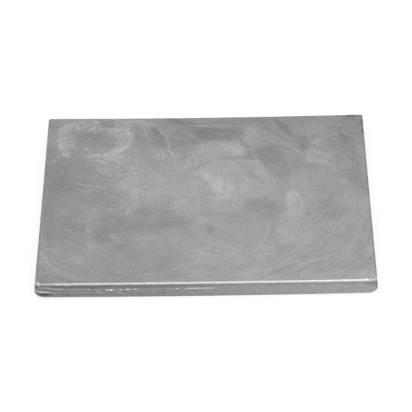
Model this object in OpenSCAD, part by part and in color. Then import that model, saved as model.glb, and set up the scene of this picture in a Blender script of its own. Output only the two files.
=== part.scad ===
// Flat plate of zinc, cast in one piece in an open mould and lying on its pour face.
// The upper face is the one that lay on the mould's floor, so the side walls lean in
// towards it by the mould's draft, and its edges are as crisp as the mould's own floor
// corners. At the open side below, the metal's skin drew the corners into wider rounds.
// Origin: centre of the pour face. X runs along the length, Y along the width, Z up.

/* [Plate] */
// Length along X, measured at the pour face
plate_length = 300; // [80:1:600]
// Width along Y, measured at the pour face
plate_width = 300; // [80:1:600]
// Thickness of the casting
plate_thickness = 15; // [8:0.5:40]

/* [Mould side] */
// Angle by which each side wall leans in, so that the casting leaves its mould
draft_angle = 3; // [0:0.25:8]
// Plan radius of the corners at the upper face, where the mould's floor formed them
floor_corner_radius = 2.6; // [2.4:0.1:8]
// Radius of the round between the upper face and the side walls
floor_edge_radius = 2.2; // [0.4:0.1:2.4]

/* [Pour side] */
// Plan radius of the corners at the pour face, where the metal's skin drew them in
pour_corner_radius = 9; // [3:0.5:16]
// Radius of the round between the pour face and the side walls
pour_edge_radius = 1.6; // [0.4:0.1:2.8]

/* [Hidden] */

zinc_grey = [0.60, 0.61, 0.62];

// Flat steps in a full turn of a corner, and in a full turn of an edge's section
corner_facets = 72;
edge_facets = 32;

// Height of the straight stretch of wall between the two rounds
wall_height = plate_thickness - pour_edge_radius - floor_edge_radius;
// How far the wall has leaned in where it meets the upper round
draft_inset = wall_height * tan(draft_angle);

// A full corner, standing on z = 0: rounded in plan, and with a round edge in section
module corner_ring(corner_radius, edge_radius)
    rotate_extrude($fn = corner_facets)
        intersection() {
            translate([corner_radius - edge_radius, edge_radius])
                circle(r = edge_radius, $fn = edge_facets);
            square([corner_radius, 2 * edge_radius]);
        }

// One child at each corner of a rectangle, so that a round of this radius meets its sides
module at_corners(length, width, corner_radius)
    for (side_x = [-1, 1], side_y = [-1, 1])
        translate([side_x * (length / 2 - corner_radius), side_y * (width / 2 - corner_radius), 0])
            children();

// The four corners where the metal met the air
module pour_corners()
    at_corners(plate_length, plate_width, pour_corner_radius)
        corner_ring(pour_corner_radius, pour_edge_radius);

// The four corners where the metal met the mould's floor
module floor_corners()
    translate([0, 0, plate_thickness - 2 * floor_edge_radius])
        at_corners(plate_length - 2 * draft_inset, plate_width - 2 * draft_inset, floor_corner_radius)
            corner_ring(floor_corner_radius, floor_edge_radius);

// The casting is convex, so a skin stretched over its eight corners is its whole form
module zinc_plate()
    color(zinc_grey)
        hull() {
            pour_corners();
            floor_corners();
        }

zinc_plate();
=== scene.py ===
import math
import bpy
import numpy as np
from mathutils import Matrix, Vector, noise


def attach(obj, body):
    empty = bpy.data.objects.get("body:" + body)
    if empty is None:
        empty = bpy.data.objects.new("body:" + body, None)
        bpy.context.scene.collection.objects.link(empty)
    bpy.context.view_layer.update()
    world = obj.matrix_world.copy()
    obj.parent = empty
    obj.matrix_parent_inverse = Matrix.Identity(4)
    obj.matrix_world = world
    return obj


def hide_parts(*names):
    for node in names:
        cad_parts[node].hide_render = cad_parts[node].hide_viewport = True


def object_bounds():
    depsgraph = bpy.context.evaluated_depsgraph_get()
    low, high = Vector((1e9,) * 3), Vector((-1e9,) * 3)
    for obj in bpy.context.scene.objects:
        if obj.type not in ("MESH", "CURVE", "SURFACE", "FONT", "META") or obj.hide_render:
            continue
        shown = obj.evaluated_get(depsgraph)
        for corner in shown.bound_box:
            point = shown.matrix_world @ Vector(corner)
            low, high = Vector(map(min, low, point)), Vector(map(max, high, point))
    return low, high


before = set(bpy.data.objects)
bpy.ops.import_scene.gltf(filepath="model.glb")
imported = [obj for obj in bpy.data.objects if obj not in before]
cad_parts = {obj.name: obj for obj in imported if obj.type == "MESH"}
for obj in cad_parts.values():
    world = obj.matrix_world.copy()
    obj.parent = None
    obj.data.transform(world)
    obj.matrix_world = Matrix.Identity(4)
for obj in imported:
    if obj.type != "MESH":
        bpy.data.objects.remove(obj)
cadLow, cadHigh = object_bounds()
bpy.ops.object.select_all(action="DESELECT")
print("frame loaded, box in metres:", tuple(round(v, 4) for v in cadHigh - cadLow))

mm = 0.001  # lengths on the plate are in millimetres, those of the studio and the view in metres
halfSide = round(cadHigh.x / mm, 3)


# the plate: a drafted slab with round edges, and the relief that the pour and the mould left

castPlate = {
    "cells": 160,           # squares along each side of the upper and lower face
    "crowding": 0.5,        # 0 spaces the squares evenly, nearer 1 packs them at the rim
    "trim": 0.15,           # kept free all round, for the relief of the walls
    "bow": 0.9,             # kept free above, because the ends of the plate curl up
    "draftInset": 0.6,      # how far the walls have leaned in at the upper round
    "upperCorner": 2.6,     # plan radius of the corners at the upper face
    "upperRound": 2.2,      # radius of the round along the upper edge
    "lowerCorner": 9.0,     # plan radius of the corners at the underside
    "lowerRound": 1.6,      # radius of the round along the lower edge
    "upperSteps": 8,        # rings of points in the upper round, the wall and the lower round
    "wallSteps": 40,
    "lowerSteps": 5,
    "curlFront": 0.75,      # how much higher the two ends lie than the middle
    "curlBack": 0.9,
    "curlUnder": 1.2,
    "drawIn": (0.1, 0.35),  # how far the sides are drawn in at their middle, in X and in Y
    "standOut": 0.13,       # the most that a wall may stand out past the blank
    "swell": 0.16,          # slow undulation of the upper face
    "swellLength": 70,
    "swellFade": (4, 30),   # distances from the rim where it starts and where it is full
    "wallWave": 0.10,       # undulation of the walls
    "wallWaveLength": 16,
    "wallGrain": 0.035,
    "wallGrainLength": 3.5,
    "edgeWave": 0.22,       # how far the upper edge wanders
    "edgeWaveLength": 9,
    "edgeBand": 9,          # how far in from the rim the wander is felt
    "edgeDip": (2.8, 2.5),  # how far in it is strongest, and how soon it dies out from there
    "hollow": 0.35,         # shrink hollow under the plate
    "hollowFade": (30, 135),    # distances from the middle where it starts to fade and ends
}

# cold laps, where the metal froze in layers: run along the rim and height of some points, how far
# the lower layer stands proud, how far down it fades back, and the taper of its ends
coldLaps = [
    ([(-153, 12.6), (-148.5, 12.2), (-146, 11.6), (-142.5, 10.3), (-136.5, 10.0), (-131.5, 8.8),
      (-126, 8.9), (-102, 8.1), (-82, 7.5), (-74, 8.1), (-57, 8.0)], 0.28, 3.0, 8),
    ([(-160, 3.0), (-153, 3.8), (-150, 5.0), (-146, 5.8), (-138, 5.6), (-136, 5.3), (-133, 4.7),
      (-130, 4.4)], 0.42, 1.6, 4),
    ([(-131, 5.7), (-110, 5.4), (-62, 5.4)], 0.12, 2.0, 8),
    ([(-50, 8.2), (-26, 8.5), (8, 8.4)], 0.14, 2.2, 8),
    # on the other three walls
    ([(176, 6.2), (215, 7.0), (262, 6.4), (300, 7.4)], 0.16, 2.4, 14),
    ([(-424, 7.6), (-380, 6.6), (-330, 7.2), (-300, 6.0)], 0.16, 2.4, 14),
    ([(-286, 6.8), (-240, 7.8), (-196, 6.6)], 0.14, 2.2, 12),
]


def smooth(value, low, high):
    t = np.clip((value - low) / (high - low), 0, 1)
    return t * t * (3 - 2 * t)


def profileRings(form, thick):
    # inset, height and corner radius of each ring, from the upper face over the edge and down
    rings = []
    for k in range(form["upperSteps"] + 1):
        turn = math.radians(90 * k / form["upperSteps"])
        lean = form["upperRound"] * (1 - math.sin(turn))
        drop = form["upperRound"] * (1 - math.cos(turn))
        rings.append((form["draftInset"] + lean, thick - drop, form["upperCorner"] - lean))
    wallTop = thick - form["upperRound"]
    for k in range(1, form["wallSteps"] + 1):
        t = k / form["wallSteps"]
        height = wallTop + (form["lowerRound"] - wallTop) * t
        corner = form["upperCorner"] + (form["lowerCorner"] - form["upperCorner"]) * t
        rings.append((form["draftInset"] * (1 - t), height, corner))
    for k in range(1, form["lowerSteps"] + 1):
        turn = math.radians(90 * k / form["lowerSteps"])
        lean = form["lowerRound"] * (1 - math.cos(turn))
        rings.append((lean, form["lowerRound"] * (1 - math.sin(turn)), form["lowerCorner"] - lean))
    return np.array(rings)


def makeBlank(form, half, thick, rings):
    # a grid for the upper face, its rim drawn out ring by ring, then closed by a second grid
    bpy.ops.mesh.primitive_grid_add(
        x_subdivisions=form["cells"], y_subdivisions=form["cells"],
        size=2 * (half - rings[0][0]) * mm, location=(0, 0, thick * mm))
    piece = bpy.context.active_object
    piece.name = "castPlate"
    bpy.ops.object.mode_set(mode="EDIT")
    bpy.ops.mesh.select_all(action="SELECT")
    bpy.ops.mesh.region_to_loop()
    for before, after in zip(rings, rings[1:]):
        grow = (half - after[0]) / (half - before[0])
        drop = (after[1] - before[1]) * mm
        bpy.ops.mesh.extrude_edges_move(TRANSFORM_OT_translate={"value": (0, 0, drop)})
        bpy.ops.transform.resize(value=(grow, grow, 1), center_override=(0, 0, after[1] * mm))
    bpy.ops.mesh.fill_grid(span=form["cells"])
    bpy.ops.mesh.select_all(action="SELECT")
    bpy.ops.mesh.normals_make_consistent(inside=False)
    bpy.ops.object.mode_set(mode="OBJECT")
    bpy.ops.object.transform_apply(location=True, rotation=True, scale=True)
    return piece


def readRows(source, name):
    flat = np.empty(len(source) * 3, np.float32)
    source.foreach_get(name, flat)
    return flat.reshape(-1, 3).astype(float)


def writePoints(piece, points):
    piece.data.vertices.foreach_set("co", (points * mm).astype(np.float32).ravel())
    piece.data.update()


def ringOf(points, half, rings):
    # which ring of the profile each point belongs to
    reach = np.abs(points[:, :2]).max(axis=1)
    miss = (reach[:, None] - (half - rings[:, 0])) ** 2 + (points[:, 2][:, None] - rings[:, 1]) ** 2
    found = miss.argmin(axis=1)
    found[points[:, 2] > rings[0][1] - 1e-4] = 0
    found[points[:, 2] < 1e-4] = len(rings) - 1
    return found


def crowd(points, reach, amount):
    # moves the points of each row towards the rim
    share = points[:, :2] / reach[:, None]
    share = (1 - amount) * share + amount * np.sin(share * np.pi / 2)
    points[:, :2] = share * reach[:, None]


def rimRun(points):
    # distance along the rim, 0 at the middle of the front, positive towards the right
    x, y = points[:, 0], points[:, 1]
    reach = np.maximum(np.maximum(np.abs(x), np.abs(y)), 1e-6)
    u, v = x / reach, y / reach
    side = np.sign(u) + (u == 0)
    onFront, onEnd = v <= -1 + 1e-9, np.abs(u) >= 1 - 1e-9
    run = np.where(onFront, u, np.where(onEnd, side * (2 + v), side * (4 - np.abs(u))))
    return run * halfSide


def roundCorners(points, reach, corner):
    # bends square rings into rings with round corners
    plan = np.abs(points[:, :2])
    size, short = plan.max(axis=1), plan.min(axis=1)
    radius = np.clip(corner - (reach - size), 1e-4, None)
    near = size - short < radius
    turn = np.radians(45) * (1 - (size - short) / radius)
    along = size - radius + radius * np.cos(turn)
    across = size - radius + radius * np.sin(turn)
    leads = plan[:, 0] >= plan[:, 1]
    sign = np.sign(points[:, :2])
    points[near, 0] = (sign[:, 0] * np.where(leads, along, across))[near]
    points[near, 1] = (sign[:, 1] * np.where(leads, across, along))[near]


def noiseAt(points, length, shift):
    # the shift picks a stretch of the noise, so that no two reliefs follow each other
    return np.array([noise.noise(Vector(p) / length + Vector((shift, 0, 0))) for p in points])


def lapShape(run, height, lap):
    # how far the lap stands out, and how much a point lies on its upper lip, which gets a painted
    # highlight
    points, proud, fade, taper = lap
    runs, heights = zip(*points)
    below = np.interp(run, runs, heights) - height
    inside = smooth(run, runs[0], runs[0] + taper) * (1 - smooth(run, runs[-1] - taper, runs[-1]))
    push = proud * inside * smooth(below, -0.2, 0.2) * (1 - smooth(below, 0.3, fade))
    lip = inside * (1 - smooth(np.abs(below), 0.1, 0.5)) * min(1, proud / 0.4)
    return push, lip


def sculpt(piece, form, half, thick, rings, found, run):
    points = readRows(piece.data.vertices, "co") / mm
    normals = readRows(piece.data.vertex_normals, "vector")
    steps, last = form["upperSteps"], len(rings) - 1
    wall = (found >= steps) & (found < last)
    face, under = found == 0, found == last
    turned = np.clip(found / steps, 0, 1)
    inset = half - np.abs(points[:, :2]).max(axis=1)

    # waves, grain and cold laps of the walls, which settle down at both rounds
    push, lips = np.zeros(len(points)), np.zeros(len(points))
    sides = points[wall]
    push[wall] = form["wallWave"] * noiseAt(sides * (1, 1, 2.2), form["wallWaveLength"], 3.7)
    push[wall] += form["wallGrain"] * noiseAt(sides, form["wallGrainLength"], 11.3)
    for lap in coldLaps:
        lapPush, lapLip = lapShape(run[wall], points[wall, 2], lap)
        push[wall] += lapPush
        lips[wall] = np.maximum(lips[wall], lapLip)
    settle = smooth(last - found, 0, 4) * smooth(found, steps - 1, steps + 2)
    points += normals * (push * settle)[:, None]

    # the upper edge wanders a little up and down
    rim = (found <= steps) & (inset < form["edgeBand"])
    along = np.stack([run[rim], 0 * run[rim], 0 * run[rim]], axis=1)
    wander = noiseAt(along, form["edgeWaveLength"], 5.1)
    wander += 0.5 * noiseAt(along, form["edgeWaveLength"] / 3, 8.2)
    deepest, spread = form["edgeDip"]
    fall = np.where(face[rim], np.exp(-((inset[rim] - deepest) / spread) ** 2), 1 - 0.6 * turned[rim])
    points[rim, 2] -= form["edgeWave"] * np.clip(0.4 + wander, 0, 1) * fall

    # slow swell of the upper face, which dies out at the rim
    start, full = form["swellFade"]
    inner = face & (inset > start)
    slow = noiseAt(points[inner], form["swellLength"], 1.9) - 0.5
    points[inner, 2] += form["swell"] * slow * smooth(inset[inner], start, full)

    # shrink hollow under the plate
    middle = np.hypot(points[under, 0], points[under, 1])
    points[under, 2] += form["hollow"] * (1 - smooth(middle, *form["hollowFade"]))

    # the ends curl up, and each side is drawn in at its middle
    out = points[:, :2] / half
    curl = form["curlFront"] + (form["curlBack"] - form["curlFront"]) * (out[:, 1] + 1) / 2
    share = np.clip(points[:, 2] / thick, 0, 1)
    points[:, 2] += (curl * share + form["curlUnder"] * (1 - share)) * out[:, 0] ** 2
    points[:, 0] -= form["drawIn"][0] * out[:, 0] * (1 - out[:, 1] ** 2)
    points[:, 1] -= form["drawIn"][1] * out[:, 1] * (1 - out[:, 0] ** 2)
    points[:, :2] = np.clip(points[:, :2], -half - form["standOut"], half + form["standOut"])
    writePoints(piece, points)
    return turned, lips


def keepValues(piece, name, values):
    values = values.astype(np.float32)
    piece.data.attributes.new(name, "FLOAT", "POINT").data.foreach_set("value", values)


half = cadHigh.x / mm - castPlate["trim"]
thick = cadHigh.z / mm - castPlate["bow"]
rings = profileRings(castPlate, thick)
plate = makeBlank(castPlate, half, thick, rings)
points = readRows(plate.data.vertices, "co") / mm
found = ringOf(points, half, rings)
reach = half - rings[found, 0]
crowd(points, reach, castPlate["crowding"])
run = rimRun(points)
roundCorners(points, reach, rings[found, 2])
writePoints(plate, points)
print("blank made,", len(points), "points")
turned, lips = sculpt(plate, castPlate, half, thick, rings, found, run)
bpy.ops.object.shade_smooth()
keepValues(plate, "edgeTurn", turned)
keepValues(plate, "lapLip", lips)
print("relief sculpted")


# zinc: cast skin with its flow marks, painted highlight on the front edge, painted shade on the other
# edges, darker walls

def put(tree, kind, settings=None, inputs=None):
    node = tree.nodes.new("ShaderNode" + kind)
    for name, value in (settings or {}).items():
        setattr(node, name, value)
    for name, value in (inputs or {}).items():
        if isinstance(value, bpy.types.NodeSocket):
            tree.links.new(value, node.inputs[name])
        else:
            node.inputs[name].default_value = value
    return node


def calc(tree, operation, *values):
    return put(tree, "Math", {"operation": operation}, dict(enumerate(values))).outputs[0]


def vector(tree, operation, *values, out="Vector"):
    return put(tree, "VectorMath", {"operation": operation}, dict(enumerate(values))).outputs[out]


def measure(tree, operation, *values):
    return vector(tree, operation, *values, out="Value")


def ease(tree, value, low, high, start=0.0, end=1.0):
    node = put(tree, "MapRange", {"interpolation_type": "SMOOTHSTEP", "clamp": False}, {
        "Value": value, "From Min": low, "From Max": high, "To Min": start, "To Max": end})
    return node.outputs["Result"]


def blendOf(tree, amount, first, second):
    return put(tree, "Mix", {"data_type": "FLOAT"}, {0: amount, 2: first, 3: second}).outputs[0]


def cloud(tree, coords, length, detail, roughness=0.5):
    return put(tree, "TexNoise", None, {
        "Vector": coords, "Scale": 1 / length, "Detail": detail, "Roughness": roughness}).outputs


def patches(tree, coords, length, detail, roughness, low, high):
    # noise with clearer edges the nearer low and high are to each other
    return ease(tree, cloud(tree, coords, length, detail, roughness)["Fac"], low, high)


def join(tree, *parts):
    return put(tree, "CombineXYZ", None, dict(enumerate(parts))).outputs[0]


def split(tree, coords):
    return put(tree, "SeparateXYZ", None, {0: coords}).outputs


def grey(tree, value):
    return put(tree, "CombineColor", None, {0: value, 1: value, 2: value}).outputs[0]


def stray(tree, coords, *sways):
    # the same coordinates pushed about, so that what is drawn on them gets ragged edges
    x, y = split(tree, coords)[:2]
    for length, amount in sways:
        jitter = put(tree, "SeparateColor", None, {0: cloud(tree, coords, length, 3)["Color"]}).outputs
        x = calc(tree, "MULTIPLY_ADD", jitter[0], amount, x)
        y = calc(tree, "MULTIPLY_ADD", jitter[1], amount, y)
    middle = sum(amount for length, amount in sways) / 2
    return vector(tree, "SUBTRACT", join(tree, x, y), (middle, middle, 0))


def startGroup(name, vectors, floats, out):
    group = bpy.data.node_groups.new(name, "ShaderNodeTree")
    for kind, labels in (("NodeSocketVector", vectors), ("NodeSocketFloat", floats)):
        for label in labels:
            group.interface.new_socket(name=label, in_out="INPUT", socket_type=kind)
    group.interface.new_socket(name=out, in_out="OUTPUT", socket_type="NodeSocketFloat")
    return group, group.nodes.new("NodeGroupInput").outputs


def endGroup(group, value):
    group.links.new(value, group.nodes.new("NodeGroupOutput").inputs[0])


def ovalMarkGroup():
    # one mark: a bent oval whose strength is added to the tone so far
    group, given = startGroup(
        "ovalMark", ("Coords", "Middle", "Along", "Across"),
        ("Bend", "Outside", "Inside", "Strength", "Tone"), "Tone")
    local = vector(group, "SUBTRACT", given["Coords"], given["Middle"])
    along = measure(group, "DOT_PRODUCT", local, given["Along"])
    across = measure(group, "DOT_PRODUCT", local, given["Across"])
    size = calc(group, "MULTIPLY", along, along)
    across = calc(group, "MULTIPLY_ADD", size, given["Bend"], across)
    size = calc(group, "MULTIPLY_ADD", across, across, size)
    inside = ease(group, size, given["Outside"], given["Inside"])
    endGroup(group, calc(group, "MULTIPLY_ADD", inside, given["Strength"], given["Tone"]))
    return group


def straightSideGroup():
    # one straight side of a patch
    group, given = startGroup(
        "straightSide", ("Coords", "Inward"), ("Start", "End", "Inside"), "Inside")
    depth = measure(group, "DOT_PRODUCT", given["Coords"], given["Inward"])
    inside = ease(group, depth, given["Start"], given["End"])
    endGroup(group, calc(group, "MULTIPLY", inside, given["Inside"]))
    return group


ovalMark = ovalMarkGroup()
straightSide = straightSideGroup()


def mark(tree, coords, tone, x, y, turn, long, wide, strength, edge=0.5, bend=0):
    c, s = math.cos(math.radians(turn)), math.sin(math.radians(turn))
    return put(tree, "Group", {"node_tree": ovalMark}, {
        "Coords": coords, "Middle": (x, y, 0), "Along": (c / long, s / long, 0),
        "Across": (-s / wide, c / wide, 0), "Bend": -bend / wide, "Outside": (1 + edge) ** 2,
        "Inside": (1 - edge) ** 2, "Strength": strength, "Tone": tone}).outputs[0]


def zone(tree, coords, x, y, turn, long, wide, edge=0.5):
    # an oval that is 1 inside and 0 outside
    return mark(tree, coords, 0.0, x, y, turn, long, wide, 1.0, edge)


def plot(tree, coords, corners, edge):
    # a patch with straight sides, its corners given anticlockwise
    inside = 1.0
    for (x0, y0), (x1, y1) in zip(corners, corners[1:] + corners[:1]):
        size = math.hypot(x1 - x0, y1 - y0)
        inward = ((y0 - y1) / size, (x1 - x0) / size, 0)
        start = inward[0] * x0 + inward[1] * y0
        inside = put(tree, "Group", {"node_tree": straightSide}, {
            "Coords": coords, "Inward": inward, "Start": start - edge, "End": start + edge,
            "Inside": inside}).outputs[0]
    return inside


def swirl(tree, coords, x, y, streak, spacing):
    # noise drawn out into arcs round a place
    local = vector(tree, "SUBTRACT", coords, (x, y, 0))
    away = measure(tree, "LENGTH", local)
    heading = vector(tree, "MULTIPLY", vector(tree, "NORMALIZE", local), (streak, streak, 0))
    bent = vector(tree, "ADD", heading, join(tree, 0.0, 0.0, calc(tree, "DIVIDE", away, spacing)))
    return cloud(tree, bent, 1.0, 2, 0.55)["Fac"]


def brushed(tree, coords, turn, streak, spacing):
    # noise drawn out into straight lines
    c, s = math.cos(math.radians(turn)), math.sin(math.radians(turn))
    along = measure(tree, "DOT_PRODUCT", coords, (c / streak, s / streak, 0))
    across = measure(tree, "DOT_PRODUCT", coords, (-s / spacing, c / spacing, 0))
    return cloud(tree, join(tree, along, across), 1.0, 1)["Fac"]


# tones are written as they look on a screen, from 0 to 255. A mark has x, y, turn, half length,
# half width and tone, then the softness of its edge and its bend, where they aren't 0.5 and 0. A
# zone is a mark without a tone
zincLook = {
    "faceTone": 155,
    "roughness": 0.42,
    "strays": {             # length and amount of each sway, for each kind of mark
        "soft": [(28, 9)],
        "ragged": [(18, 6), (4, 4)],
        "thin": [(12, 2.5)],
        "torn": [(9, 4), (3, 3.5)],
        "rim": [(5, 1.8), (1.6, 1.4)],
    },
    "clouds": [(45, 2), (14, 1), (5, 1)],   # length and tone of each size of cloud
    "cloudEdges": (0.25, 0.75),
    "oxide": (22, 1, 0.5, 0.46, 0.54),  # length, detail, roughness and edges of patches
    "oxideTone": 1.5,
    "grain": [(2.2, 16), (1.4, 32)],
    "ringStreaks": (-105, 106, 9, 2.2),     # pour ring: middle, length and spacing of its arcs
    "lumps": (3.6, 4, 0.7),     # length, detail and roughness
    "lumpGrowth": (0.8, 1.25, 0.25, 1.3),   # between these values of noise, from least to most
    "pepper": (1.9, 2, 0.7, 0.53, 0.66),    # dark specks in the middle of the ring
    "pepperZone": (-109, 108, 100, 19, 11, 0.4),
    "pepperTone": -14,
    "crust": (1.9, 3, 0.7),     # fine crust over the ring, and again over the speckle
    "crustZone": (-105, 104, 0, 40, 38, 0.4),
    "crustTone": 31,
    "specks": (3.6, 3, 0.65, 0.5, 0.72),    # speckle left of the middle
    "speckZone": (-88, 26, 125, 46, 30),
    "speckTone": 24,
    "speckCrust": 22,
    "flow": (-28, 0, 9, 2.2),   # the stream's own arcs: middle, length and spacing
    "flowGrowth": (75, 130, 0.2, 1.0),  # between these distances from their middle
    "flowTone": 11,
    "wallEnds": (132, 161),  # tones of the left and the right end of the walls
    "wallStray": (5, 0.7),
    "wallLift": (-145, -130, 60),   # from and to these Y, the wall's marks are lifted out of reach
    "wallCloud": (6, 4, 0.6),
    "wallCloudTone": 4,
    "wallGrain": [(1.3, 22)],
    "lipHighlight": 10,          # painted highlight on the upper lips of the cold laps
    "upperShade": (0, 12.2, 0, 400, 1.8, -10),  # a darker band along the top of the walls, and painted shade along their foot, where they mirror the shadow on the floor
    "shadeStray": (9, 2),
    "footShade": (0, 0.5, 0, 400, 0.8, -14),
    "scrapeZone": (85, 5, 0, 75, 5, 0.6),   # scraped right half of the front wall
    "scrape": (-55, 6, 1.1, 20),    # turn, length and spacing of its streaks, tone
    "rimTurn": (0.05, 0.4),  # between these shares of the upper round, the rim's tone takes over
    "wallTurn": (0.8, 1.0),
    "frontHighlightStrip": (-140, -146),     # painted highlight along the front edge: Y where it begins and where it is full
    "frontHighlightTone": 172,       # at its middle
    "frontRise": 12,        # how much brighter it is at its right end
    "frontHighlightUnevenness": [(4, 24), (1.5, 16)],   # how unevenly the highlight is painted
    "rimTone": 138,         # painted shade on the other three edges
    "rimShadeMottle": [(9, 18), (2.2, 32)],
    "fringe": -6,           # and a ragged line of it just inside them
    "fringeStrip": (146.2, 147.8),
    "fringeGaps": (6, 3, 0.6, 0.4, 0.6),
    "backTone": -30,        # darker still along the back
    "backStrip": (142, 147),
    "backLine": -25,        # with a thin line just inside it
    "lineStrip": (146.6, 148.2),
    "glance": 0.15,         # how much the back edge mirrors at a slant
}

# wide and soft marks on the upper face
broadMarks = [
    # the left side is duller
    (-150, 20, 90, 150, 40, -8, 0.7), (-142, 35, 85, 32, 12, -6), (-130, 50, 90, 34, 20, -6, 0.6),
    (-132, 14, 80, 22, 9, -5, 0.6), (-98, 12, 90, 22, 16, -8, 0.6), (-80, -34, 90, 46, 20, -8, 0.6),
    (-146, -35, 95, 40, 8, -6), (-110, -143, 0, 44, 9, -7, 0.6),
    # so is the back
    (-2, 138, 0, 74, 20, -12, 0.6), (-54, 104, 90, 20, 10, -4, 0.6), (-38, 98, 90, 14, 8, -6, 0.6),
    # and the right back corner
    (130, 110, 120, 90, 40, -7, 0.7), (72, 90, 115, 44, 22, -7, 0.6),
    (136, 126, 90, 26, 14, -7, 0.6),
    # pale column under the speckle
    (-68, -8, 90, 34, 9, 6),
    # smaller pools and pale places
    (-86, -44, 70, 12, 9, -3), (-90, -67, 80, 14, 8, -8), (-104, -58, 90, 30, 3, 4),
    (-116, -74, 90, 26, 12, -6, 0.6), (-30, 18, 60, 34, 24, 5), (28, -70, 0, 34, 28, 3, 0.6),
    (10, -104, 0, 30, 16, 6, 0.6), (-56, -106, 0, 34, 22, -7, 0.6), (-48, -48, 0, 26, 18, -5, 0.6),
    (-134, -40, 90, 24, 14, -4, 0.6), (60, -42, 90, 18, 12, -4, 0.6),
    (100, -112, 0, 18, 12, -4, 0.6), (112, 6, 90, 20, 10, -5, 0.6), (84, -75, 100, 34, 16, 5),
    (114, -30, 90, 13, 13, -8, 0.35), (122, 100, 100, 34, 8, -4, 0.6),
    (134, 80, 102, 30, 6, -6, 0.6), (140, 28, 100, 22, 8, -6), (118, 64, 70, 16, 12, 3, 0.6),
    (110, 128, 60, 18, 14, 4, 0.6), (140, -36, 75, 22, 6, 7, 0.6), (86, 14, 110, 20, 10, 5, 0.6),
    (75, -125, 30, 50, 18, 3, 0.6), (124, -143, 0, 34, 9, 9), (24, -140, 0, 34, 10, 5, 0.6),
    (-44, -143, 0, 40, 8, -5, 0.6), (38, -132, 0, 8, 7, 6), (-6, -132, 0, 6, 6, 5),
    (-5, -42, 0, 6, 6, 10, 0.4), (-2, 22, 90, 20, 10, 6, 0.6), (20, -16, 0, 16, 12, 5, 0.6),
    (9, 8, 96, 16, 8, 6), (-147, 112, 90, 14, 5, 6), (10, 99, 0, 26, 6, -4),
    (-14, 96, 60, 12, 8, -4, 0.6), (40, 70, 90, 10, 6, -5), (124, 143, 0, 26, 8, -5, 0.6),
    (146, 112, 90, 14, 5, -5), (127, 82, 90, 8, 6, 4), (68, 127, 90, 8, 6, 5),
    (-67, -37, 0, 9, 7, 6), (-38, -36, 0, 10, 7, 4), (-83, -75, 0, 8, 10, 5),
    (-127, -82, 0, 9, 9, 5), (-30, -88, 0, 14, 12, 4, 0.6), (52, -97, 0, 9, 7, 6),
    (7, -112, 0, 8, 7, 4), (142, -30, 90, 16, 6, -5), (80, -46, 90, 12, 8, -3),
    (-92, -128, 0, 34, 8, -4), (-146, 80, 90, 10, 4, -8), (-65, 113, 90, 7, 4, -6),
    (-61, 108, 90, 16, 6, -4), (-65, 55, 90, 17, 4, 6), (40, 125, 0, 9, 6, 6),
    (45, 105, 0, 5, 5, -5), (50, 89, 10, 8, 4, 6), (-45, 82, 90, 16, 4, 4),
    (-23, 105, 90, 5, 4, -5), (3, 86, 0, 5, 5, -5), (-54, 127, 100, 8, 4, 3),
    (-65, 64, 0, 5, 4, -4), (-75, 65, 90, 5, 4, 6), (-105, 125, 90, 6, 4, 6),
    (-106, 145, 0, 5, 3, -6), (-120, 15, 0, 10, 5, -5), (-135, 75, 0, 4, 5, 5),
    (-135, 33, 90, 6, 4, 4), (-82, 20, 90, 9, 5, 4), (-65, -17, 0, 6, 5, 5), (85, -2, 90, 9, 4, -5),
    (75, -20, 90, 20, 3, 4), (96, 2, 0, 4, 4, 3), (65, 20, 90, 5, 5, -2), (75, 42, 90, 9, 4, -3),
    (95, 62, 90, 6, 5, 5), (105, 107, 0, 5, 4, -6), (95, 108, 90, 6, 4, 5), (56, -37, 0, 6, 5, -5),
    (74, -35, 90, 6, 4, 4), (35, -55, 0, 16, 6, -4), (-12, -55, 90, 7, 5, 4),
    (-105, -75, 90, 5, 4, -4), (-115, -94, 0, 5, 5, 5), (125, -75, 20, 12, 8, -3),
    (-135, -132, 90, 8, 4, 6), (58, -135, 0, 8, 4, -4), (105, -122, 90, 8, 4, 5),
    (-65, -144, 0, 8, 4, 4), (25, -144, 0, 12, 4, 3), (-15, -104, 90, 5, 4, 4),
    (5, 58, 0, 8, 4, -2), (144, 30, 90, 12, 4, 4), (136, 27, 90, 7, 4, -4), (144, -76, 90, 8, 4, 3),
    (136, -38, 90, 8, 5, -4), (106, 100, 80, 9, 5, 6), (70, 16, 0, 9, 5, -5),
    (105, 26, 90, 10, 5, 5), (116, 36, 0, 5, 5, -5), (-90, -1, 40, 11, 5, 6),
    (-42, -15, 0, 20, 5, -5), (105, -5, 0, 6, 6, 7), (50, -106, 0, 10, 5, 5),
    (15, -96, 0, 6, 5, -5), (-28, -144, 0, 9, 5, 6), (68, -135, 0, 8, 4, -4),
    (-124, -140, -30, 14, 5, -5), (145, -105, 0, 5, 7, 5),
]
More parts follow.
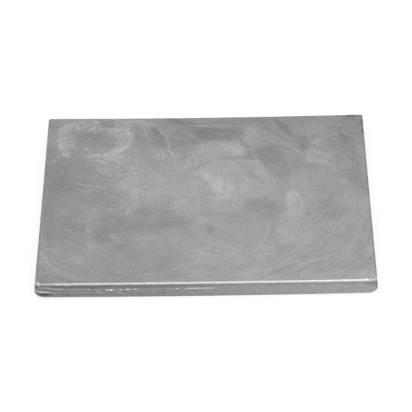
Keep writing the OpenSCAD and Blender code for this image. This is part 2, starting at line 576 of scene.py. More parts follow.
# marks with ragged edges
raggedMarks = [
    # dark band behind the plume
    (12, 115, -3, 22, 12, -17, 0.4, 2), (-16, 118, -8, 13, 8, -5), (3, 107, 50, 9, 6, -6, 0.4),
    (8, 137, 0, 18, 3, -5), (-20, 137, -28, 16, 4.5, -13),
    # pale place at its right end
    (43, 114, 85, 15, 7, 10),
    # plume and its bright places
    (12, 86, 0, 22, 15, 4, 0.4), (25, 87, -40, 13, 10, 6, 0.3), (20, 89, -55, 7, 5, 6, 0.4),
    (31, 80, -60, 7, 5, 6, 0.4), (-2, 82, 70, 20, 11, 5), (32, 70, 0, 15, 3, -6, 0.6),
    # dark tongue on the right
    (57, 78, -72, 14, 9, -4),
    # brightest blob
    (-2, 37.5, -40, 11, 4.5, 5, 0.6), (11.5, 20, 88, 19, 3.6, 8, 0.4),
    (20.5, 4, 80, 12, 3.4, 9, 0.4), (15, -2, -40, 5, 2.4, 6, 0.4), (19, 16, 100, 22, 7, 5, 0.4, -4),
    (6, 48, 0, 12, 6, 3),
    # its dull lower left edge
    (-3, 29, -38, 6, 1.4, -5), (3, 23, 90, 5, 3.4, -6, 0.4), (4, 4, -50, 6, 1.4, -4, 0.4),
    # small pale places by it
    (11, 5, 90, 9, 4.5, 6), (-35, 6, -20, 7, 3.4, 5),
    # pale lobe
    (81, -17, 92, 22, 7, 9, 0.4), (79, 0, 30, 6, 6, 6, 0.25), (72, -52, 80, 20, 7, 3),
    # dull pool
    (48, -18, 20, 15, 9, -9), (60, -22, 90, 8, 6, -5), (30, -36, 60, 12, 8, -4),
    # short dull strokes
    (92, -36, 70, 6, 2.5, -10, 0.4), (4, -60, 85, 8, 3, -9), (7, -92, 80, 12, 3, -4),
    (72.5, 128, 112, 15, 3.4, -15), (85, 104, 120, 10, 4, -6), (90, 88, 110, 7, 2.5, -9),
    (92, 98, 90, 9, 4, -2), (54, 140, 0, 8, 6, -6),
    # dark line beside the plume
    (39, 90, 108, 15, 3.2, -11, 0.5, 2), (36, 52, 120, 14, 3, -6), (45, 33, 125, 12, 4, -9),
    (36, 17, 70, 11, 5, 7),
    # stains by the right edge
    (128, 122, 80, 3, 2, -10), (127, 112, 105, 6, 1.6, -7), (131, 102, 108, 8, 3, -9),
    (117, 124, 60, 6, 3, -7), (125, 36, 60, 8, 5, -6), (142, 147, 0, 8, 2.5, -22),
    (142, 22, 90, 10, 5, -8),
    # pale flecks
    (-70, -26.5, 0, 3.5, 1.8, 17, 0.4), (-66, 6, 85, 14, 4, 5), (-72, 24, 60, 14, 5, 4),
    (-80, -68, 0, 7, 5, 5, 0.4), (-100, -26, 95, 5, 1.6, 8), (-96, -20, 10, 5, 2, 6),
    (-24, -12, 50, 14, 5, 7, 0.4), (-8, -22, 80, 6, 2, 7), (145, -96, 90, 6, 4, 10, 0.4),
    # the last, near the front and the back
    (-76, -88, 80, 5, 3, -6, 0.4), (-67, -94, 90, 4, 1.5, -6, 0.4), (-76, -99, 90, 7, 4, 5),
    (-60, 139.5, -22, 12, 4.2, 15, 0.4), (118, -124, 0, 9, 6, -3), (134, -126, 40, 9, 4, -5),
    (-103, -88, 70, 12, 4, 6), (-112, -112, 120, 12, 4, 4),
]
# lines
thinMarks = [
    # bright arcs beside the dark wedge
    (-41.5, 119, 114, 17, 0.8, 17, 0.5, 1), (-35.5, 97, 96, 13, 0.7, 12),
    (-45.5, 119, 115, 12, 1.4, -6), (-30.5, 78, 106, 11, 0.7, 13), (-58, 127, 122, 11, 0.7, 11),
    (-57, 118, 112, 7, 0.8, 13), (-52, 117, 108, 5, 0.6, 8), (-40, 68, 86, 16, 0.8, 8, 0.6, 1),
    (-43, 80, 75, 8, 1.2, 6, 0.6), (-19, 60, 90, 14, 0.9, 9, 0.6, 3),
    (-15, 62, 92, 14, 0.8, 9, 0.6, 2), (-9, 62, 86, 13, 0.8, 7, 0.6, 2),
    (-29, 66, 95, 9, 0.8, 8, 0.6, 1), (-24, 50, 80, 12, 0.8, 6, 0.6, 2), (-7, 24, 0, 4, 1, 9),
    (-20, 84, 120, 12, 0.7, 7, 0.6, 1), (-28, 92, 122, 12, 0.7, 6, 0.6, 1),
    # pale lines over the dark band
    (6, 131, -3, 24, 1.2, 12), (-4, 131, 0, 6, 1, 7), (8, 134.3, -2, 20, 0.9, -8),
    (12, 127, -1, 22, 0.7, 7, 0.6), (16, 135, 0, 18, 0.9, 5, 0.6), (-10, 133, -13, 11, 1, 12),
    (-5, 138, -5, 8, 0.9, 8),
    # crisp pale edge of the tongue
    (46, 70, 115, 10, 0.8, 12), (41, 84, 112, 8, 0.7, 7), (53, 55, 119, 12, 0.9, 6),
    (64, 33, 116, 13, 0.9, 4),
    # rake lines
    (87, 81, 129, 10, 0.7, 9), (83, 83, 129, 11, 0.6, 8), (91, 82, 129, 9, 0.5, 9),
    (78, 92, 131, 18, 0.6, 6, 0.6), (90, 77, 126, 6, 0.7, 10), (86, 78, 129, 8, 0.6, 8),
    (66, 104, 133, 20, 0.7, 5, 0.6), (56, 118, 135, 16, 0.6, 6, 0.6),
    (60, 96, 133, 14, 0.6, -6, 0.6), (70, 112, 133, 18, 0.6, -6, 0.6),
    # wisps by the right back corner
    (113, 105, 34, 12, 0.8, 9), (101, 96, 42, 6, 0.9, 10), (125, 114.5, 14, 5, 0.8, 9),
    (144, 117, 4, 5, 0.8, 9), (104, 82, -14, 13, 0.8, 5, 0.6), (92, 128, 100, 5, 1.6, -12),
    (94, 112, 98, 8, 0.9, -9), (93, 105, 95, 2.4, 1, -14), (131, 62, 120, 12, 1, 6, 0.6),
    (143, 88, 112, 9, 1.2, 6, 0.6),
    # thin arcs on the left
    (-131, -21, -48, 9, 0.7, 9, 0.6, 1), (-113, -42.5, -20, 9, 0.8, 14, 0.5, 1),
    (-130, -26, -52, 12, 0.7, 8, 0.5, 2), (-123, -59, -36, 8, 0.8, 11),
    # short dashes below the speckle
    (-105.5, -56.5, 0, 3, 0.9, 22, 0.4), (-105.5, -61, 0, 3, 1.1, 24, 0.4),
    (-98, -34, 0, 3, 0.9, 22, 0.4), (-86, -22.5, -14, 6.5, 0.9, 18, 0.5, -1),
    (-74.5, -25.5, 0, 1.2, 1.2, -18), (-68, -44, 60, 1.6, 0.8, 10), (-74, -33, 0, 6, 0.9, 6),
    # slanting lines on the dull triangle
    (-54, -85, -49, 15, 1.4, 6, 0.6), (-52, -72, 7, 8, 0.9, 10), (-80, -73, -54, 10, 1.2, 9),
    (-105, -84, 112, 14, 1, 3, 0.5, 1),
    # pale arcs at the lower left
    (-137.5, -119, -59, 25, 2.2, 6, 0.5, 6), (-132, -122, -54, 20, 0.9, 4, 0.5, 4),
    (-146, -92, -82, 22, 0.8, 8, 0.5, 3), (-144, -116, -66, 24, 0.7, 4, 0.5, 4),
    (-120, -138, -26, 12, 2, 5, 0.5, 1), (-146, -70, -84, 34, 0.8, 7, 0.5, 3),
    (-142, -80, -80, 28, 0.7, 5, 0.5, 3),
    # wrinkles in the speckle
    (-108, 20, -12, 7, 0.9, 13, 0.5, 2), (-96, 18, 4, 6, 0.8, 11, 0.5, -1),
    (-112, 11, -20, 4, 0.7, 9), (-86, 29, -30, 6, 0.9, 8, 0.5, 1), (-76, 18, -20, 7, 0.9, 9),
    (-66, 12, 10, 6, 1, 9), (-70, 47, 60, 8, 0.9, 7), (-60, 48, 55, 9, 0.8, 5),
    (-90, 65, -20, 6, 1, 7), (-90, -112, 0, 8, 0.8, 5),
    # raked marks at the lower right
    (66, -125, 38, 21, 0.9, 12, 0.5, -1), (63, -130.5, 36, 18, 2, -10, 0.5, -1),
    (88, -108, 38, 12, 1.8, -8), (94, -115, 20, 14, 1.4, 9, 0.5, -2),
    (86, -128, 38, 20, 1.6, -8, 0.5, -2), (88, -131, 50, 9, 1, 6), (128, -127, 50, 15, 1.2, 8),
    (122, -136, 60, 8, 2, -6), (128, -92, 72, 24, 1.2, 5, 0.5, -3),
    (134, -70, 80, 24, 1, 5, 0.5, -2),
    # the slanting edge under the lobe
    (55, -68, 76, 18, 1.2, 5, 0.5, 2), (59, -66, 76, 18, 1.6, -3, 0.5, 2),
    (66, -58, 74, 16, 0.8, 7, 0.5, 2), (77, -66, 80, 6, 0.9, -9, 0.6),
    (80, -72, 120, 5, 0.9, -7, 0.6),
    # last scratches along the front
    (-36, -130, 30, 4, 1, 7), (-52, -135, 8, 8, 0.8, 10), (-24, -123, 50, 7, 2.6, 7),
]
# short bright nicks left by a rake
nickMarks = [
    (-8, -97, 112, 2, 0.7, 15), (-4, -99, 112, 2.4, 0.7, 18), (-1, -101, 108, 2, 0.7, 16),
    (-6, -103, 115, 2, 0.7, 16), (-3, -105, 112, 1.8, 0.7, 15), (3, -102.5, 112, 2.2, 0.8, 15),
    (6.5, -103.5, 112, 2.2, 0.7, 13), (10, -96, 112, 3, 0.8, 17), (13, -100, 112, 2, 0.7, 13),
    (19, -90, 100, 3, 0.7, 9), (-5, -109, 100, 1.6, 0.8, 12), (-8, -112, 70, 1.6, 0.7, 14),
    (-11, -109, 112, 2, 0.7, 13), (-14, -118, 45, 1.6, 0.9, 13), (-9, -116, 60, 1.4, 0.7, 9),
    (-24, -112, 30, 1.6, 0.7, 12), (-22, -122, 45, 3, 1, 7), (-27, -126, 40, 2, 0.9, 6),
    (-15, -106, 112, 1.6, 0.6, 9), (-18, -127, 30, 2, 0.7, 7),
]
# dull or pale patches with straighter sides: corners, softness of the edge, tone
plots = [
    # dull triangle left of the middle
    ([(-70, -22), (-84, -56), (-50, -62), (-20, -52), (-15, -48), (-19, -42), (-34, -18)], 2.6, -4),
    ([(-42, -30), (-42, -54), (-20, -52), (-15, -48), (-19, -42), (-32, -24)], 2, -4),
    ([(-99, -64), (-97, -80), (-78, -83), (-72, -72), (-79, -57), (-91, -53)], 1.2, -3),
    # shade on both sides of the wedge
    ([(-36, 90), (-36, 107), (-46, 133), (-60, 118), (-60, 94)], 3, -3),
    ([(-37, 108), (-31, 84), (-18, 68), (-11, 80), (-9, 94), (-14, 112), (-26, 126)], 2, -8),
    # left end of the dark band
    ([(-12, 92), (2, 98), (7, 106), (-2, 112), (-14, 110)], 1.5, -7),
    # pale field in the middle
    ([(-8, 52), (4, 18), (22, -4), (48, -4), (69, 14), (56, 44), (46, 66), (15, 68)], 1.5, 8),
    # pale lobe and the leg under it
    ([(74, 2), (74, -38), (92, -38), (91, 2)], 1.5, 3),
    ([(73, -38), (67, -54), (62.5, -88), (94, -88), (97, -50), (92, -38)], 1.5, 3),
    # dark tongue
    ([(43, 86), (50, 60), (59, 43), (73, 16), (78, 26), (76, 56), (69, 90), (54, 93)], 1.8, -7),
    # pale patch below the rake lines
    ([(93, 58), (112, 56), (118, 75), (93, 85)], 1.2, 8),
    ([(93, 72), (106, 72), (115, 76), (93, 84)], 1.2, 5),
    # pale patch left of the dull pool
    ([(-32, -18), (-16, -42), (-4, -34), (-4, -4), (-24, -4)], 2, 5),
]
# the wedge, dark along its right side: corners, softness of the edge, zone where it shows, tone
wedge = ([(-35.5, 88), (-36, 107), (-47, 134), (-80, 134), (-80, 88)], 0.8,
         (-40.5, 103, -70, 21, 7, 0.6), -11)
# pour ring, where the stream met the mould
ringMarks = [
    # the thick left side, with its bright inner edge
    (-133, 127, 62, 12, 4.5, 6, 0.3), (-135, 107, 90, 22, 4.5, 6, 0.3),
    (-132, 88, 112, 10, 4.5, 8, 0.3), (-136.5, 98, 97, 9, 1.3, 13, 0.4),
    (-133, 84, 118, 6, 1.6, 12, 0.4), (-132, 79, 0, 4, 2.4, 14, 0.4),
    (-131, 75.5, 3, 6, 1.8, 27, 0.4), (-128, 80, 80, 4, 1.5, 12, 0.4),
    # its tail
    (-138.5, 75, 68, 6, 0.9, 20, 0.4), (-140.5, 67, 78, 4, 1.4, 24, 0.4),
    # far side
    (-116, 138, 6, 18, 5, 6, 0.4), (-127, 136, 30, 8, 3, 4, 0.4), (-116, 143, 88, 3, 1.4, 16, 0.4),
    (-104, 140, 110, 7, 2.4, 14, 0.4), (-121, 128, 75, 5, 2, 17, 0.4),
    (-108, 127, 62, 7, 2, 17, 0.4), (-113, 132, 20, 5, 2, 8, 0.4),
    # right side
    (-92, 127, -14, 10, 2.6, 14, 0.4), (-81, 121, -30, 12, 9, 7, 0.4),
    (-78, 124, -20, 6, 2.5, 6, 0.4), (-69, 114, 110, 8, 2, 6, 0.4),
    (-71, 104, 80, 8, 1.2, 13, 0.4), (-72.5, 93, 70, 7, 1.3, 12, 0.4),
    (-80, 100, 30, 4.5, 3, 14, 0.4), (-79, 89, 58, 10, 5, 9, 0.4), (-82, 85, 52, 9, 5, 11, 0.35),
    (-75, 90, 64, 11, 3.4, 4, 0.35), (-78.5, 75, 15, 5, 3, 19, 0.35), (-87, 74, 80, 5, 3, 8, 0.4),
    # near side
    (-98, 77.5, 8, 9, 3.6, 17, 0.3), (-112, 76.5, -14, 7, 1.8, 15, 0.4),
    (-90, 71, -30, 7, 3, 12, 0.4), (-97, 65, -42, 6, 1.4, 17, 0.4), (-81, 64, 110, 3.5, 2, 20, 0.4),
    (-73, 70, 50, 4, 1.5, 14, 0.4), (-106, 68, -20, 6, 2.5, 8),
    # lumps inside
    (-125.5, 108, 95, 9, 2.8, 11), (-124, 93, -50, 6, 3.4, 23, 0.4),
    (-112, 87, -55, 5, 1.5, 20, 0.4), (-80, 138, 90, 12, 9, 8), (-74, 127, 84, 12, 4.5, 8, 0.4),
]
# its body, two patches on the left and two on the right
ringPlots = [
    ([(-140, 112), (-138, 92), (-134, 78), (-127.5, 78), (-129.5, 112)], 0.9, 9),
    ([(-140, 112), (-129.5, 112), (-123, 138), (-132, 138), (-138.5, 127)], 0.9, 8),
    ([(-80, 102), (-70, 100), (-69, 118), (-76, 128), (-90, 130), (-90, 121)], 1.5, 5),
    ([(-94, 78), (-84, 74), (-70, 97), (-70, 104), (-79, 102)], 1.5, 5),
]
# dull metal inside it, in the gap of its far side and between it and the left edge
ringDark = [
    (-103, 104, 0, 22, 20, -4), (-108, 117, 100, 9, 7, -5), (-98, 116, 0, 5, 4, -5),
    (-92, 98, 90, 8, 4, -4), (-97, 138, 112, 9, 2.6, -8, 0.4), (-89.5, 137, 84, 9, 2.4, -10, 0.4),
    (-93.5, 139, 90, 10, 6.5, -5, 0.4), (-97, 106, 0, 10, 9, -6), (-148, 120, 90, 30, 5, -5),
]
# arcs by the wedge and wipes of a cloth: middle, length and spacing of the streaks, zone, tone
wipes = [
    (-60, 58, 4, 2, (-24, 76, 90, 46, 24), 20),
    (-57, -75, 10, 1.7, (-137, -108, -66, 46, 14), 15),
    (-94, -2, 10, 1.7, (-124, -36, -42, 30, 12), 12),
]
# straight scratches: kind of stray, turn, length and spacing of the streaks, zone, tone
scratches = [
    ("thin", 40, 12, 1.5, (92, -118, 0, 62, 26), 4),
    ("thin", -60, 20, 1.5, (-23, 92, 118, 30, 12), 13),
    ("flat", -48, 26, 1.2, (68, 106, -48, 38, 16), 19),
]
# marks on the front wall, with the height for y
wallMarks = [
    # darker above the laps
    (-75, 11.2, 0, 60, 2.2, -8),
    # first lap, from the corner to the right: painted glints on its lip
    (-145.5, 12.3, -50, 1.8, 0.35, 40), (-141, 11, -4, 3.5, 0.34, 42),
    (-135.5, 10.4, -12, 3.5, 0.34, 42), (-128.5, 9.5, 0, 4, 0.36, 44),
    (-120.5, 12.6, 10, 4, 0.4, 16), (-127, 11.4, 20, 5, 0.6, -9), (-113, 9, -2, 8, 0.34, 20),
    (-102, 8.6, 0, 1, 0.5, 32), (-94, 8.3, -4, 2.5, 0.3, 26), (-86, 8.2, -6, 2, 0.4, 55),
    (-82.5, 7.7, -15, 1.4, 0.7, 90, 0.4), (-79.5, 8.1, 0, 1.2, 0.4, 30),
    (-74.2, 8.3, 0, 1.2, 0.4, 60), (-68, 8.2, 3, 2.2, 0.34, 75), (-61.5, 8.3, 0, 2.2, 0.34, 65),
    (-57, 8.3, 0, 0.8, 0.34, 45), (-46, 8.4, 0, 8, 0.3, 12), (-34, 8.2, 0, 1.2, 0.5, 26),
    (-30, 8.5, 0, 3, 0.3, 20), (-25, 8.6, 0, 1.3, 0.3, 75), (-18, 8, 60, 1.2, 0.4, 40),
    (-13.5, 8.4, 0, 2.6, 0.28, 80), (-8.5, 8.4, 0, 1.8, 0.32, 90), (-4.8, 8.4, 0, 1.4, 0.28, 75),
    (-3.4, 7.8, -70, 0.9, 0.4, 35), (0, 8.4, 0, 1.5, 0.3, 85), (4.6, 8.3, 0, 2.2, 0.32, 65),
    (13, 9.2, 4, 3, 0.3, 12),
    # second lap: painted glints on its lip, and painted shade in the pocket under it
    (-148, 7, 0, 1.5, 0.6, 60), (-144.5, 6.9, 0, 2.5, 0.5, 60), (-139.5, 6.5, -6, 3, 0.4, 45),
    (-132.8, 5.5, 5, 1.6, 0.4, 18), (-142, 4.3, -4, 6.5, 1.3, -36, 0.4),
    (-134, 3.9, 0, 2, 0.8, -14), (-112, 6, -1, 20, 0.3, 16), (-93, 5.6, 0, 3, 0.36, 34),
    (-79.3, 5, 0, 1.6, 0.4, 26), (-75.8, 5.4, 0, 1.6, 0.4, 28), (-64, 5.7, 0, 1.6, 0.36, 22),
    (-48, 5.8, 0, 12, 0.34, 12), (-70.6, 4.1, 0, 1.6, 0.5, 30),
    # painted shade in small pits
    (-70, 5, 0, 1.6, 0.5, -28), (-65, 4.7, 0, 1.6, 0.5, -22), (-58, 4.4, 0, 1.4, 0.6, -24),
    (-37, 4.2, 0, 2, 0.6, -24), (-120, 3.6, 0, 2, 0.7, -20),
    # painted shade at the corners, where the wall turns away
    (146, 10.6, 0, 6, 2.5, -12), (149.4, 7, 90, 7, 1.1, -50), (-149, 9.6, 90, 3, 1.2, -14),
]
# darker marks, and painted glints on burrs, along the upper edge, drawn over it and a little way in
edgeMarks = [
    # left front corner, with a painted glint
    (-146.6, -146.6, -42, 2.2, 1, 62, 0.4), (-140, -148.4, 0, 7, 1.2, -16),
    # right front corner, with painted glints
    (139.4, -147.8, 0, 1, 0.8, 30, 0.4), (145, -146.4, 14, 5, 0.8, 22),
    (146, -148.6, 0, 4, 0.8, -20),
    # left edge
    (-149, 128, 90, 12, 1.2, -10), (-149, 52, 90, 8, 1.4, -10), (-148.8, -66, 90, 5, 1.1, -16),
    (-148.8, -96, 90, 7, 1, -12), (-148.8, -119, 90, 5, 1, -16),
    # right edge
    (148, 133, 88, 5, 1.3, -36), (148, 117, 90, 4, 1.2, -34), (148.4, 96, 90, 8, 0.8, -6),
    (148.4, 62, 90, 12, 0.8, -6), (148.6, 22, 90, 5, 0.8, -28), (148.6, 4, 90, 6, 0.8, -22),
    (142, -66.5, 0, 1.6, 1.2, -16), (148, -66, 80, 2, 1, -18), (145.4, -80, 80, 1.6, 1.2, -22),
    (144.3, -92, 0, 1.6, 1.2, -18), (144.6, -114, 60, 2, 1.2, -18),
    # back edge
    (138, 146.6, 0, 4.5, 2, -36, 0.4), (148, 147.4, -40, 1.8, 1.2, -30, 0.4),
    (144.4, 147, 0, 1.6, 1.6, 20, 0.4), (100, 148.4, 0, 22, 1.1, -16), (52, 148.4, 0, 14, 1, -12),
    (-124, 148, 0, 16, 1.3, -18), (17, 146.5, 0, 2.5, 1.4, -16),
]


def layMarks(tree, tone, marks, coords):
    for row in marks:
        tone = mark(tree, coords, tone, *row)
    return tone


def layPlots(tree, tone, shapes, coords):
    for corners, edge, strength in shapes:
        tone = calc(tree, "MULTIPLY_ADD", plot(tree, coords, corners, edge), strength, tone)
    return tone


def layNoise(tree, tone, value, strength, where=None):
    # adds noise round its middle value, only inside a zone where one is given
    value = calc(tree, "SUBTRACT", value, 0.5)
    if where is not None:
        value = calc(tree, "MULTIPLY", value, where)
    return calc(tree, "MULTIPLY_ADD", value, 2 * strength, tone)


def layGrain(tree, tone, coords, sizes, roughness=0.5):
    for length, strength in sizes:
        tone = layNoise(tree, tone, cloud(tree, coords, length, 2, roughness)["Fac"], strength)
    return tone


def layFace(tree, look, coords):
    # the upper face, from its slow clouds down to single nicks
    tone = look["faceTone"]
    for length, strength in look["clouds"]:
        veil = patches(tree, coords["flat"], length, 3, 0.5, *look["cloudEdges"])
        tone = layNoise(tree, tone, veil, strength)
    tone = layMarks(tree, tone, broadMarks, coords["soft"])
    tone = layMarks(tree, tone, raggedMarks, coords["ragged"])
    tone = layPlots(tree, tone, plots, coords["ragged"])
    corners, edge, fade, strength = wedge
    shade = calc(tree, "MULTIPLY", plot(tree, coords["rim"], corners, edge),
                 zone(tree, coords["soft"], *fade))
    tone = calc(tree, "MULTIPLY_ADD", shade, strength, tone)
    tone = layMarks(tree, tone, thinMarks, coords["thin"])
    return layMarks(tree, tone, nickMarks, coords["flat"])


def layRing(tree, look, tone, coords, crust):
    # the pour ring, a ragged splash where the stream met the mould
    tone = layMarks(tree, tone, ringDark, coords["torn"])
    lumps = calc(tree, "ADD", cloud(tree, coords["flat"], *look["lumps"])["Fac"],
                 swirl(tree, coords["torn"], *look["ringStreaks"]))
    lumps = ease(tree, lumps, *look["lumpGrowth"])
    splash = layMarks(tree, 0.0, ringMarks, coords["torn"])
    tone = calc(tree, "MULTIPLY_ADD", splash, lumps, tone)
    tone = layPlots(tree, tone, ringPlots, coords["rim"])
    pepper = patches(tree, coords["flat"], *look["pepper"])
    pepper = calc(tree, "MULTIPLY", pepper, zone(tree, coords["torn"], *look["pepperZone"]))
    tone = calc(tree, "MULTIPLY_ADD", pepper, look["pepperTone"], tone)
    return layNoise(tree, tone, crust, look["crustTone"], zone(tree, coords["soft"], *look["crustZone"]))


def laySpeckle(tree, look, tone, coords, crust):
    # oxide in patches, then the speckle
    tone = layNoise(tree, tone, patches(tree, coords["ragged"], *look["oxide"]), look["oxideTone"])
    speckZone = zone(tree, coords["soft"], *look["speckZone"])
    specks = patches(tree, coords["ragged"], *look["specks"])
    specks = calc(tree, "MULTIPLY", speckZone, specks)
    tone = calc(tree, "MULTIPLY_ADD", specks, look["speckTone"], tone)
    return layNoise(tree, tone, crust, look["speckCrust"], speckZone)


def layStreaks(tree, look, tone, coords):
    # the stream's own lines, in arcs round the middle, then those of tools and cloths
    x, y, streak, spacing = look["flow"]
    away = measure(tree, "DISTANCE", coords["flat"], (x, y, 0))
    arcs = swirl(tree, coords["thin"], x, y, streak, spacing)
    tone = layNoise(tree, tone, arcs, look["flowTone"], ease(tree, away, *look["flowGrowth"]))
    for x, y, streak, spacing, where, strength in wipes:
        arcs = swirl(tree, coords["thin"], x, y, streak, spacing)
        tone = layNoise(tree, tone, arcs, strength, zone(tree, coords["soft"], *where))
    for kind, turn, streak, spacing, where, strength in scratches:
        lines = brushed(tree, coords[kind], turn, streak, spacing)
        tone = layNoise(tree, tone, lines, strength, zone(tree, coords["soft"], *where))
    return tone


def layWalls(tree, look, coords, place, lapLip):
    # the walls and the underside
    veil = cloud(tree, coords["solid"], *look["wallCloud"])["Fac"]
    strength = look["wallCloudTone"]
    tone = calc(tree, "ADD", ease(tree, place["X"], -halfSide, halfSide, *look["wallEnds"]),
                ease(tree, veil, *look["cloudEdges"], -strength, strength))
    # painted highlight on the upper lips of the cold laps
    tone = calc(tree, "MULTIPLY_ADD", lapLip, look["lipHighlight"], tone)
    swayed = stray(tree, coords["upright"], look["shadeStray"])
    tone = mark(tree, swayed, tone, *look["upperShade"])
    # painted shade along the foot of the walls, where they mirror the shadow on the floor
    tone = mark(tree, coords["upright"], tone, *look["footShade"])
    # painted glints on the laps, painted shade in the pocket, the pits and the corners
    tone = layMarks(tree, tone, wallMarks, coords["wall"])
    tone = layGrain(tree, tone, coords["solid"], look["wallGrain"], 0.6)
    turn, streak, spacing, strength = look["scrape"]
    scraped = zone(tree, coords["upright"], *look["scrapeZone"])
    return layNoise(tree, tone, brushed(tree, coords["upright"], turn, streak, spacing), strength, scraped)


def layRim(tree, look, tone, coords, place, onRim):
    # the upper edge: painted shade on three sides, a painted highlight along the front
    front = ease(tree, place["Y"], *look["frontHighlightStrip"])
    frontHighlight = calc(tree, "MULTIPLY_ADD", place["X"], look["frontRise"] / halfSide, look["frontHighlightTone"])
    frontHighlight = layGrain(tree, frontHighlight, coords["flat"], look["frontHighlightUnevenness"])
    backTone = look["rimTone"] + look["backTone"]
    rimShade = ease(tree, place["Y"], *look["backStrip"], look["rimTone"], backTone)
    rimShade = layGrain(tree, rimShade, coords["flat"], look["rimShadeMottle"])
    rimTone = blendOf(tree, front, rimShade, frontHighlight)
    # the painted shade creeps a little way in, most of all at the back
    ragged = split(tree, coords["rim"])
    outward = calc(tree, "MAXIMUM", calc(tree, "ABSOLUTE", ragged["X"]), ragged["Y"])
    fringe = ease(tree, outward, *look["fringeStrip"])
    patchy = patches(tree, coords["flat"], *look["fringeGaps"])
    tone = calc(tree, "MULTIPLY_ADD", calc(tree, "MULTIPLY", fringe, patchy), look["fringe"], tone)
    backLine = calc(tree, "MULTIPLY", ease(tree, ragged["Y"], *look["lineStrip"]),
                    ease(tree, patchy, -0.5, 1.0, 0.2, 1.0))
    tone = calc(tree, "MULTIPLY_ADD", backLine, look["backLine"], tone)
    tone = blendOf(tree, onRim, tone, rimTone)
    return layMarks(tree, tone, edgeMarks, coords["rim"])


def makeZinc(look):
    zinc = bpy.data.materials.new("castZinc")
    zinc.use_nodes = True
    tree = zinc.node_tree
    solid = vector(tree, "MULTIPLY", put(tree, "TexCoord").outputs["Object"], (1 / mm, 1 / mm, 1 / mm))
    place = split(tree, solid)
    flat = join(tree, place["X"], place["Y"])
    turnedEdge = put(tree, "Attribute", {"attribute_name": "edgeTurn"}).outputs["Fac"]
    lapLip = put(tree, "Attribute", {"attribute_name": "lapLip"}).outputs["Fac"]

    coords = {"solid": solid, "flat": flat, "upright": join(tree, place["X"], place["Z"])}
    for kind, sways in look["strays"].items():
        coords[kind] = stray(tree, flat, *sways)
    start, end, lift = look["wallLift"]
    lifted = calc(tree, "MULTIPLY_ADD", ease(tree, place["Y"], start, end), lift, place["Z"])
    coords["wall"] = stray(tree, join(tree, place["X"], lifted), look["wallStray"])

    tone = layFace(tree, look, coords)
    crust = cloud(tree, flat, *look["crust"])["Fac"]
    tone = layRing(tree, look, tone, coords, crust)
    tone = laySpeckle(tree, look, tone, coords, crust)
    tone = layStreaks(tree, look, tone, coords)
    tone = layGrain(tree, tone, flat, look["grain"], 0.6)
    wallTone = layWalls(tree, look, coords, place, lapLip)
    onWall = ease(tree, turnedEdge, *look["wallTurn"])
    onRim = ease(tree, turnedEdge, *look["rimTurn"])
    tone = layRim(tree, look, tone, coords, place, onRim)
    tone = blendOf(tree, onWall, tone, wallTone)
    onBack = calc(tree, "MULTIPLY", onRim, ease(tree, place["Y"], *look["backStrip"]))
    glance = blendOf(tree, onBack, 1.0, look["glance"])

    # the shader takes linear values
    shader = tree.nodes["Principled BSDF"]
    base = calc(tree, "POWER", calc(tree, "DIVIDE", tone, 255), 2.2)
    tree.links.new(grey(tree, base), shader.inputs["Base Color"])
    tree.links.new(grey(tree, glance), shader.inputs["Specular Tint"])
    shader.inputs["Metallic"].default_value = 1
    shader.inputs["Roughness"].default_value = look["roughness"]
    return zinc


zinc = makeZinc(zincLook)
plate.data.materials.append(zinc)
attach(plate, "root")
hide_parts("zinc_plate")
print("zinc laid on,", len(zinc.node_tree.nodes), "nodes")


# studio

studio = {
    "floorSize": 12.0,
    "floorGrey": 0.92,
    "floorRoughness": 0.9,
    "floorGlow": 0.8,       # how much of the floor's look is plain white, the rest takes the shadow
    "worldFill": 0.9,
    "lampPlace": (0, -0.75, 1.6),
    "lampSize": (1.8, 1.8),
    "lampWatts": 16,
}


def seenRays(tree):
    # 1 for rays that the camera or a shiny surface sends out
    rays = put(tree, "LightPath").outputs
    direct = calc(tree, "MAXIMUM", rays["Is Camera Ray"], rays["Is Glossy Ray"])
    return calc(tree, "MAXIMUM", direct, rays["Is Transmission Ray"])


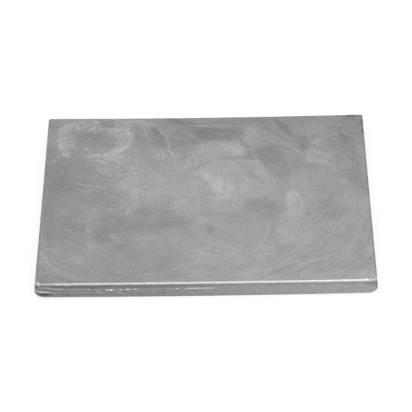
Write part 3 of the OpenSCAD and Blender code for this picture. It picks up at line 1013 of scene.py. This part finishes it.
def makeFloor(setup):
    bpy.ops.mesh.primitive_plane_add(size=setup["floorSize"], location=(0, 0, 0))
    floor = bpy.context.active_object
    floor.name = "studioFloor"
    paint = bpy.data.materials.new("paleFloor")
    paint.use_nodes = True
    tree = paint.node_tree
    shader = tree.nodes["Principled BSDF"]
    shader.inputs["Base Color"].default_value = (*[setup["floorGrey"]] * 3, 1)
    shader.inputs["Roughness"].default_value = setup["floorRoughness"]
    shader.inputs["Specular IOR Level"].default_value = 0.0
    glow = put(tree, "Emission", None, {"Color": (1, 1, 1, 1), "Strength": 1.0}).outputs[0]
    share = calc(tree, "MULTIPLY", seenRays(tree), setup["floorGlow"])
    mixed = put(tree, "MixShader", None, {0: share, 1: shader.outputs[0], 2: glow}).outputs[0]
    tree.links.new(mixed, tree.nodes["Material Output"].inputs["Surface"])
    floor.data.materials.append(paint)
    return floor


def lightWorld(setup):
    world = bpy.data.worlds.new("studioWorld")
    bpy.context.scene.world = world
    world.use_nodes = True
    tree = world.node_tree
    background = tree.nodes["Background"].inputs
    background["Color"].default_value = (1, 1, 1, 1)
    strength = put(tree, "MapRange", None, {"Value": seenRays(tree), "To Min": setup["worldFill"]})
    tree.links.new(strength.outputs[0], background["Strength"])


def softbox(name, place, size, watts):
    bpy.ops.object.light_add(type="AREA", location=place)
    lamp = bpy.context.active_object
    lamp.name = name
    lamp.data.shape = "RECTANGLE"
    lamp.data.size, lamp.data.size_y = size
    lamp.data.energy = watts
    lamp.rotation_mode = "QUATERNION"
    lamp.rotation_quaternion = (-Vector(place)).to_track_quat("-Z", "Y")


floor = makeFloor(studio)
lightWorld(studio)
softbox("overheadSoftbox", studio["lampPlace"], studio["lampSize"], studio["lampWatts"])
print("studio lit")

view = {
    "elevation": 30.50,
    "azimuth": 0.467,
    "roll": -1.048,
    "distance": 2.858,
    "lens": 273.15,
    "target": (0.0, 0.0058, 0.0),
}
rise, swing = math.radians(view["elevation"]), math.radians(view["azimuth"])
back = Vector((math.sin(swing) * math.cos(rise), -math.cos(swing) * math.cos(rise), math.sin(rise)))
bpy.ops.object.camera_add(location=Vector(view["target"]) + back * view["distance"])
camera = bpy.context.active_object
camera.rotation_mode = "QUATERNION"
roll = Matrix.Rotation(math.radians(view["roll"]), 3, "Z").to_quaternion()
camera.rotation_quaternion = (-back).to_track_quat("-Z", "Y") @ roll
camera.data.lens = view["lens"]
bpy.context.scene.camera = camera
bpy.context.scene.view_settings.view_transform = "Standard"
